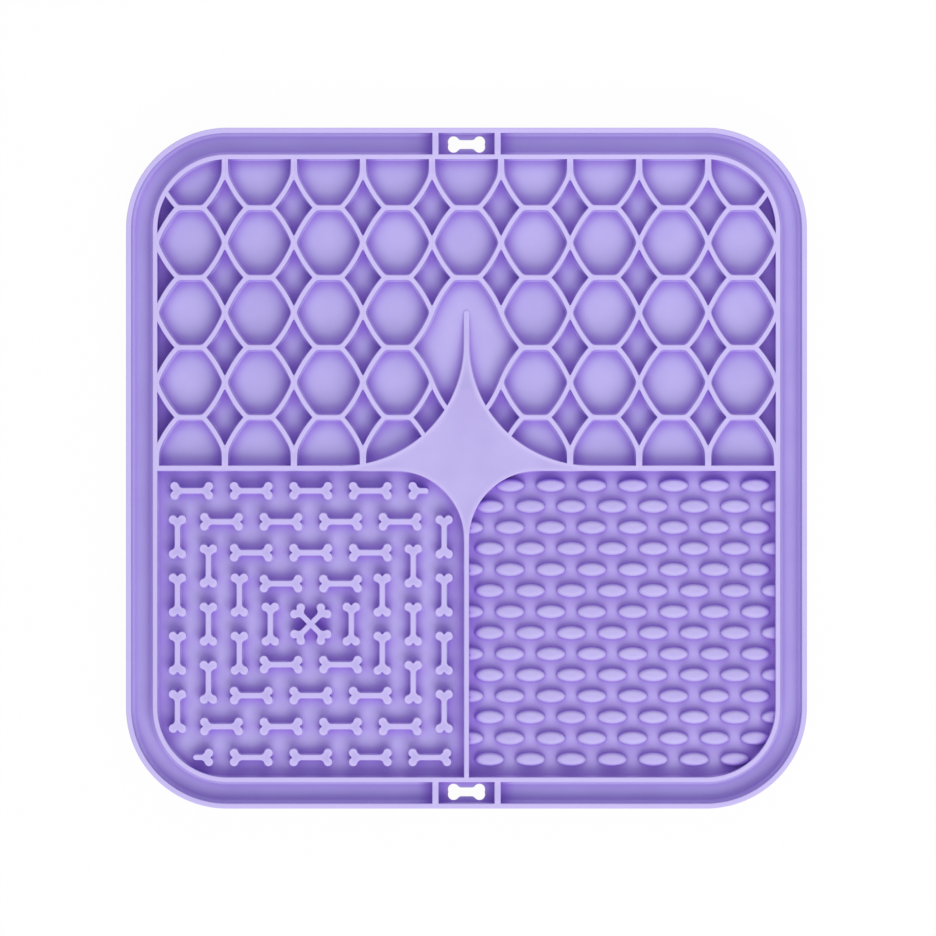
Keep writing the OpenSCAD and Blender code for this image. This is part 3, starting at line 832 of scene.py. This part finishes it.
class BoneOperator(Operator):
    """Makes the maze of bone-shaped studs, its half bones and the two crossed bones in its middle"""

    bl_idname = "lick_mat.bones"
    bl_label = "Bone studs"

    def execute(self, context):
        scene = context.scene
        s = scene.mat_bones
        quarter_zone = Quarter(scene)
        section = edge_and_foot(BONE_Z, FLOOR_Z, s.edge_r, s.foot_r)
        end = bone_end(s, s.knob_dx, s.shaft_w)
        whole = np.concatenate([end, turned(end, 180)])
        stub = arc([s.stub_gap + s.shaft_w / 2, 0], s.shaft_w / 2, 90, 270, STUB_STEPS)
        half = np.concatenate([end, stub])
        rows, columns, centre = self.places(scene, quarter_zone)

        halves = Skin()
        for name, node, places in (
            ("silicone_row_bones", "row_bone_studs", rows),
            ("silicone_column_bones", "column_bone_studs", columns),
        ):
            bones = Skin()
            for place, angle in places:
                fits = [self.fits(s, quarter_zone, place, angle, side) for side in (1, -1)]
                if all(fits):
                    self.add(bones, whole, place, angle, section)
                elif any(fits):
                    self.add(halves, half, place, angle + (0 if fits[0] else 180), section)
            bones.piece(name, node)
        halves.piece("silicone_half_bones", "half_bone_studs")

        arm = bone_end(s, s.crossed_dx, s.shaft_w)
        arm = np.concatenate([arm, [[s.shaft_w / 2, s.shaft_w / 2]]])
        cross = np.concatenate([turned(arm, 45 + 90 * i) for i in range(4)])
        crossed = Skin()
        self.add(crossed, cross, centre, 0, section)
        crossed.piece("silicone_crossed_bone", "crossed_bone_stud")
        return {"FINISHED"}

    @staticmethod
    def places(scene, zone):
        """Centres and turns of the bones, ring by ring round the maze's centre.

        A ring's far and near sides hold one bone more than its number, its other sides its number."""
        s = scene.mat_bones
        centre = np.array([-(zone.half + zone.left) / 2, -(zone.half - zone.far) / 2])
        room = (zone.half - max(zone.left, -zone.far)) / 2 - s.ring_first - s.knob_dy / 2 - s.knob_r
        rows, columns = [], []
        for ring in range(1, math.floor(room / s.ring_step) + 2):
            away = s.ring_first + (ring - 1) * s.ring_step
            for side in (-1, 1):
                for i in range(ring + 1):
                    rows.append((centre + [(i - ring / 2) * s.row_step, side * away], 0))
                for i in range(ring):
                    columns.append((centre + [side * away, (i - (ring - 1) / 2) * s.column_step], 90))
        return rows, columns, centre

    @staticmethod
    def fits(s, zone, place, angle, side):
        """Whether the corners of one half of a bone lie in the quarter."""
        reach = s.knob_dx / 2 + s.knob_r
        wide = s.knob_dy / 2 + s.knob_r
        thin = s.shaft_w / 2
        corners = np.array([[0, thin], [0, -thin], [side * reach, wide], [side * reach, -wide]])
        return zone.holds((place + turned(corners, angle)) * [-1, 1]).all()

    @staticmethod
    def add(skin, outline, place, angle, section):
        """One stud with its rings and its flat top."""
        skin.add(stand(turned(outline, angle) + place, section)[None], cap_last=True)


class BumpOperator(Operator):
    """Makes the oval bumps, and those that the rim, the ribs or the star cut short"""

    bl_idname = "lick_mat.bumps"
    bl_label = "Oval bumps"

    def execute(self, context):
        scene = context.scene
        s = scene.mat_bumps
        zone = Quarter(scene)
        rows = math.floor((zone.half - s.first_y) / s.oval_dy) + 1
        columns = math.floor((zone.half + s.oval_len / 2 - s.first_x) / s.oval_dx) + 1
        row, column = np.meshgrid(np.arange(rows), np.arange(columns), indexing="ij")
        x = s.first_x + (column + (row % 2) / 2) * s.oval_dx
        places = np.stack([x, -s.first_y - row * s.oval_dy], axis=-1).reshape(-1, 2)

        angle = np.radians(np.arange(0, 360, 45))
        ring = np.stack([np.cos(angle) * s.oval_len, np.sin(angle) * s.oval_w], axis=-1) / 2
        whole = zone.holds(places[:, None] + ring).all(axis=1)
        middles = np.array([[-s.oval_len / 4, 0], [s.oval_len / 4, 0]])
        part = zone.holds(places[:, None] + middles).any(axis=1) & ~whole

        bump = self.bump(s)
        for name, node, chosen in (
            ("silicone_bumps", "oval_bumps", places[whole]),
            ("silicone_edge_bumps", "edge_oval_bumps", places[part]),
        ):
            level = np.column_stack([chosen, np.zeros(len(chosen))])
            points = bump + level[:, None, None]
            bumps = Skin()
            bumps.add(points if node == "oval_bumps" else zone.clamp(points), cap_last=True)
            bumps.piece(name, node)
        return {"FINISHED"}

    @staticmethod
    def bump(s):
        """Rings of a dome: share and height follow share ** n + height ** n = 1, with the fullness as n.

        One more ring carries the dome's foot down into the floor."""
        angle = np.radians(DOME_DEGREES)
        share = np.cos(angle) ** (2 / s.fullness)
        height = np.sin(angle) ** (2 / s.fullness) * (OVAL_Z - FLOOR_Z)
        around = 2 * np.pi * np.arange(s.sides) / s.sides
        x = share[:, None] * np.cos(around) * s.oval_len / 2
        y = share[:, None] * np.sin(around) * s.oval_w / 2
        z = np.broadcast_to(FLOOR_Z + height[:, None], x.shape)
        dome = np.stack([x, y, z], axis=-1)
        foot = dome[:1] * [1, 1, 0] + [0, 0, FLOOR_Z - HAIR]
        return np.concatenate([foot, dome])


class CupOperator(Operator):
    """Makes the suction cups under the sheet"""

    bl_idname = "lick_mat.cups"
    bl_label = "Suction cups"

    def execute(self, context):
        s = context.scene.mat_cups
        profile = self.profile(s)
        angle = 2 * np.pi * np.arange(s.sides) / s.sides
        radius, height = profile[:, :1], np.broadcast_to(profile[:, 1:], (len(profile), s.sides))
        cup = np.stack([radius * np.cos(angle), radius * np.sin(angle), height], axis=-1)
        count = math.floor((2 * HALF_W - 2 * (s.cup_r + s.margin)) / s.step) + 1
        place = (np.arange(count) - (count - 1) / 2) * s.step
        x, y = np.meshgrid(place, place)
        places = np.column_stack([x.ravel(), y.ravel(), np.zeros(count * count)])
        cups = Skin()
        cups.add(cup + places[:, None, None], cap_first=True, cap_last=True)
        cups.piece("silicone_cups", "suction_cups")
        return {"FINISHED"}

    @staticmethod
    def profile(s):
        """Section of a cup, from the middle of its hollow out to the lip and up its skirt to the neck.

        Hollow and skirt are quarter ellipses; the lip's outer edge is a small half circle."""
        cos, sin = quarter(CUP_LAST, 0, CUP_STEPS)
        inside = s.cup_r - s.land
        hollow = np.stack([inside * cos, HAIR + s.hollow * sin], axis=-1)
        cos, sin = quarter(-90, 90, LIP_STEPS)
        lip_r = s.lip_t / 2
        lip = np.stack([s.cup_r - lip_r + lip_r * cos, lip_r + lip_r * sin], axis=-1)
        cos, sin = quarter(0, CUP_LAST, CUP_STEPS)
        skirt_h = SHEET_Z - s.neck_h - s.lip_t
        out = s.cup_r - lip_r - s.neck_r
        skirt = np.stack([s.neck_r + out * cos, s.lip_t + skirt_h * sin], axis=-1)[1:]
        cos, sin = quarter(180, 90, FLARE_STEPS)
        flare = s.neck_h / 2
        neck = np.stack([s.neck_r + flare + flare * cos, SHEET_Z - flare + flare * sin], axis=-1)
        return np.concatenate([hollow, lip, skirt, neck, [[s.neck_r + flare, SHEET_Z + 2 * HAIR]]])


def linear(hex_colour):
    """The linear colour of an sRGB hex value, with full alpha."""
    parts = [int(hex_colour[i:i + 2], 16) / 255 for i in (1, 3, 5)]
    return [*((c / 12.92 if c <= 0.04045 else ((c + 0.055) / 1.055) ** 2.4) for c in parts), 1.0]


def add_node(tree, kind, inputs=None, **settings):
    """Adds a node with its settings; an input takes a value or another node's output socket."""
    node = tree.nodes.new(kind)
    for name, value in settings.items():
        setattr(node, name, value)
    for name, value in (inputs or {}).items():
        if isinstance(value, bpy.types.NodeSocket):
            tree.links.new(value, node.inputs[name])
        else:
            node.inputs[name].default_value = value
    return node


# Sockets of a node that mixes two colours: the two and the result
MIX_A, MIX_B, MIXED = 6, 7, 2
# Noise values between which the clouds go from lilac to deep lilac
CLOUD_FROM, CLOUD_TO = 0.3, 0.7
# Open share of the surroundings at which the painted light on thin parts or the painted shade in recesses is
# full, and the rays that seek it
PAINTED_LIGHT_FULL, PAINTED_SHADE_FULL = 0.5, 0.35
PAINTED_LIGHT_RAYS, PAINTED_SHADE_RAYS = 4, 8
# How far the grain moves the roughness either way, and how strongly it tilts the surface
ROUGHNESS_SPREAD, GRAIN_STRENGTH = 0.05, 0.35
# Cured silicone's refractive index, and the share of its light that has travelled inside
SILICONE_IOR, INSIDE_SHARE = 1.41, 0.04


def silicone_material():
    """Moulded silicone: a matte, waxy skin with a fine grain from the mould and hardly any gloss. The
    grain is drawn a little coarser than the mould's own, so that it shows.

    Light that enters comes out again a millimetre or two away, which softens the edges of shadows, and
    the pigment is a shade deeper in faint clouds. Beside walls and in corners a deeper violet is painted
    in as painted shade: the less sky a point sees, the deeper its colour. Thin walls and edges get a
    paler colour painted in, a painted light that stands in for light passing through them."""
    name = "moulded_silicone"
    if name in bpy.data.materials:
        return bpy.data.materials[name]
    s = bpy.context.scene.mat_finish
    material = bpy.data.materials.new(name)
    material.use_nodes = True
    tree = material.node_tree
    tree.nodes.clear()
    place = add_node(tree, "ShaderNodeTexCoord").outputs["Object"]
    cloud = add_node(tree, "ShaderNodeTexNoise", {"Vector": place, "Scale": 1 / s.cloud, "Detail": 3.0})
    spread = add_node(tree, "ShaderNodeMapRange", {
        "Value": cloud.outputs["Fac"], "From Min": CLOUD_FROM, "From Max": CLOUD_TO,
    })
    colour = add_node(tree, "ShaderNodeMix", {
        "Factor": spread.outputs["Result"], MIX_A: linear(s.lilac), MIX_B: linear(s.deep_lilac),
    }, data_type="RGBA")
    # Painted light: where the silicone is thin, a paler colour is mixed in
    solid = add_node(tree, "ShaderNodeAmbientOcclusion", {
        "Distance": s.painted_light_depth,
    }, samples=PAINTED_LIGHT_RAYS, inside=True)
    thin = add_node(tree, "ShaderNodeMapRange", {
        "Value": solid.outputs["AO"], "From Min": 1.0, "From Max": PAINTED_LIGHT_FULL,
    })
    paler = add_node(tree, "ShaderNodeMix", {
        "Factor": thin.outputs["Result"], MIX_A: colour.outputs[MIXED], MIX_B: linear(s.thin),
    }, data_type="RGBA")
    # Painted shade: where the surroundings hide the sky, a deeper violet is mixed into the colour
    sky = add_node(tree, "ShaderNodeAmbientOcclusion", {"Distance": s.painted_shade_reach}, samples=PAINTED_SHADE_RAYS)
    painted_shade_share = add_node(tree, "ShaderNodeMapRange", {
        "Value": sky.outputs["AO"], "From Min": 1.0, "From Max": PAINTED_SHADE_FULL,
    }, interpolation_type="SMOOTHSTEP")
    with_painted_shade = add_node(tree, "ShaderNodeMix", {
        "Factor": painted_shade_share.outputs["Result"], MIX_A: paler.outputs[MIXED], MIX_B: linear(s.painted_shade),
    }, data_type="RGBA")
    grain = add_node(tree, "ShaderNodeTexNoise", {"Vector": place, "Scale": 1 / s.grain, "Detail": 2.0})
    gloss = add_node(tree, "ShaderNodeMapRange", {
        "Value": grain.outputs["Fac"],
        "To Min": s.roughness - ROUGHNESS_SPREAD,
        "To Max": s.roughness + ROUGHNESS_SPREAD,
    })
    bump = add_node(tree, "ShaderNodeBump", {
        "Height": grain.outputs["Fac"], "Strength": GRAIN_STRENGTH, "Distance": s.grain_depth,
    })
    shader = add_node(tree, "ShaderNodeBsdfPrincipled", {
        "Base Color": with_painted_shade.outputs[MIXED],
        "Roughness": gloss.outputs["Result"],
        "Normal": bump.outputs["Normal"],
        "IOR": SILICONE_IOR,
        "Subsurface Weight": INSIDE_SHARE,
        "Subsurface Radius": s.glow,
        "Subsurface Scale": 1.0,
    })
    add_node(tree, "ShaderNodeOutputMaterial", {"Surface": shader.outputs["BSDF"]})
    return material


class SheetOperator(Operator):
    """Gives the base sheet, which the mat's own solid shows, its silicone finish"""

    bl_idname = "lick_mat.sheet"
    bl_label = "Base sheet"

    def execute(self, context):
        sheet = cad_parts["base_sheet"]
        sheet.data.materials.clear()
        sheet.data.materials.append(silicone_material())
        return {"FINISHED"}


# The floor's points round each ring, and its rings' radii and rise as shares of the camera's height
FLOOR_SIDES = 64
FLOOR_RADII = np.array([0.001, 1.0, 2.0, 3.0])
FLOOR_RISE = np.array([0, 0, 0.004, 0.03])
FLOOR_PAINT = "#f4f4f6"
WHITE = "#ffffff"
# The camera's sensor in millimetres, and how many times nearer and farther than the mat it still sees
SENSOR_W = 36
CLIP_RATIO = 20


class StageOperator(Operator):
    """Sets up the pale floor, the soft lights and the camera straight above the mat"""

    bl_idname = "lick_mat.stage"
    bl_label = "Stage"

    def execute(self, context):
        scene = context.scene
        s = scene.mat_stage
        self.floor(s)
        self.softbox("near_softbox", s, -1, s.softbox_w, s.softbox_h, s.softbox_far, s.softbox_power)
        self.softbox("far_fill", s, 1, s.fill_w, s.fill_h, s.fill_far, s.fill_power)
        self.room(scene, s)
        self.camera(scene, s)
        scene.view_settings.view_transform = "Standard"
        return {"FINISHED"}

    @staticmethod
    def floor(s):
        """A wide pale disc under the mat, its far rim a shallow bowl, which looks white but keeps shadows."""
        angle = 2 * np.pi * np.arange(FLOOR_SIDES) / FLOOR_SIDES
        ring = np.stack([np.cos(angle), np.sin(angle)], axis=-1)
        flat = (s.camera_h * FLOOR_RADII)[:, None, None] * ring
        points = raise_rings(flat, s.camera_h * FLOOR_RISE - HAIR)
        skin = Skin()
        skin.add(points)
        mesh = bpy.data.meshes.new("pale_floor")
        faces = [*np.concatenate(skin.quads)[:, ::-1].tolist(), list(range(FLOOR_SIDES))]
        mesh.from_pydata(points.reshape(-1, 3).tolist(), [], faces)
        floor = bpy.data.objects.new("pale_floor", mesh)
        bpy.context.scene.collection.objects.link(floor)

        material = bpy.data.materials.new("painted_floor")
        material.use_nodes = True
        tree = material.node_tree
        tree.nodes.clear()
        path = add_node(tree, "ShaderNodeLightPath").outputs
        paint = add_node(tree, "ShaderNodeBsdfDiffuse", {"Color": linear(FLOOR_PAINT)})
        white = add_node(tree, "ShaderNodeEmission", {"Color": linear(WHITE), "Strength": 1.0})
        seen = path["Is Camera Ray"]
        for ray in ("Is Glossy Ray", "Is Transmission Ray"):
            seen = add_node(tree, "ShaderNodeMath", {0: seen, 1: path[ray]}, operation="MAXIMUM").outputs[0]
        share = add_node(tree, "ShaderNodeMath", {0: seen, 1: s.backdrop}, operation="MULTIPLY")
        mix = add_node(tree, "ShaderNodeMixShader", {
            0: share.outputs[0], 1: paint.outputs[0], 2: white.outputs[0],
        })
        add_node(tree, "ShaderNodeOutputMaterial", {"Surface": mix.outputs[0]})
        mesh.materials.append(material)

    @staticmethod
    def softbox(name, s, side, width, height, distance, power):
        """A soft light on the near (-1) or the far side (1), a little to the right, that faces the mat."""
        lamp = bpy.data.lights.new(name, "AREA")
        lamp.shape = "RECTANGLE"
        lamp.size = width
        lamp.size_y = height
        lamp.energy = power
        lamp.color = linear(s.softbox_colour)[:3]
        box = bpy.data.objects.new(name, lamp)
        low, turn = s.softbox_tilt, s.softbox_turn
        flat = math.cos(low)
        back = Vector((math.sin(turn) * flat, side * math.cos(turn) * flat, math.sin(low)))
        box.location = back * distance
        box.rotation_euler = back.to_track_quat("Z", "Y").to_euler()
        bpy.context.scene.collection.objects.link(box)

    @staticmethod
    def room(scene, s):
        """Even light from all sides; the camera sees it as plain white."""
        world = bpy.data.worlds.new("studio_room")
        world.use_nodes = True
        tree = world.node_tree
        tree.nodes.clear()
        path = add_node(tree, "ShaderNodeLightPath").outputs
        strength = add_node(tree, "ShaderNodeMapRange", {
            "Value": path["Is Camera Ray"], "To Min": s.room, "To Max": 1.0,
        })
        colour = add_node(tree, "ShaderNodeMix", {
            "Factor": path["Is Camera Ray"], MIX_A: linear(s.room_colour), MIX_B: linear(WHITE),
        }, data_type="RGBA")
        light = add_node(tree, "ShaderNodeBackground", {
            "Color": colour.outputs[MIXED], "Strength": strength.outputs["Result"],
        })
        add_node(tree, "ShaderNodeOutputWorld", {"Surface": light.outputs["Background"]})
        scene.world = world

    @staticmethod
    def camera(scene, s):
        """A long lens straight above; its width of view at the mat's top follows from sensor and lens."""
        lens = bpy.data.cameras.new("top_camera")
        lens.sensor_width = SENSOR_W
        lens.lens = lens.sensor_width * s.camera_h / s.view_w
        lens.clip_start = s.camera_h / CLIP_RATIO
        lens.clip_end = s.camera_h * CLIP_RATIO
        camera = bpy.data.objects.new("top_camera", lens)
        camera.location = (s.view_x, s.view_y, TOP_Z + s.camera_h)
        scene.collection.objects.link(camera)
        scene.camera = camera


OPERATORS = (
    SheetOperator, RimOperator, StarOperator, HoneycombOperator, BoneOperator, BumpOperator, CupOperator,
    StageOperator,
)


class LickMatPanel(Panel):
    """Buttons and sizes of the lick mat in the 3D view's sidebar"""

    bl_idname = "VIEW3D_PT_lick_mat"
    bl_label = "Lick mat"
    bl_space_type = "VIEW_3D"
    bl_region_type = "UI"
    bl_category = "Lick mat"

    def draw(self, context):
        for operator in OPERATORS:
            self.layout.operator(operator.bl_idname)
        for name, group in GROUPS.items():
            box = self.layout.box()
            for size in group.__annotations__:
                box.prop(getattr(context.scene, name), size)


def register():
    for part in (*GROUPS.values(), *OPERATORS, LickMatPanel):
        bpy.utils.register_class(part)
    for name, group in GROUPS.items():
        setattr(bpy.types.Scene, name, PointerProperty(type=group))


def unregister():
    for name in GROUPS:
        delattr(bpy.types.Scene, name)
    for part in (LickMatPanel, *reversed(OPERATORS), *reversed(GROUPS.values())):
        bpy.utils.unregister_class(part)


def main():
    register()
    bpy.ops.lick_mat.sheet()
    bpy.ops.lick_mat.rims()
    bpy.ops.lick_mat.star()
    bpy.ops.lick_mat.honeycomb()
    bpy.ops.lick_mat.bones()
    bpy.ops.lick_mat.bumps()
    bpy.ops.lick_mat.cups()
    bpy.ops.lick_mat.stage()


if __name__ == "__main__":
    main()
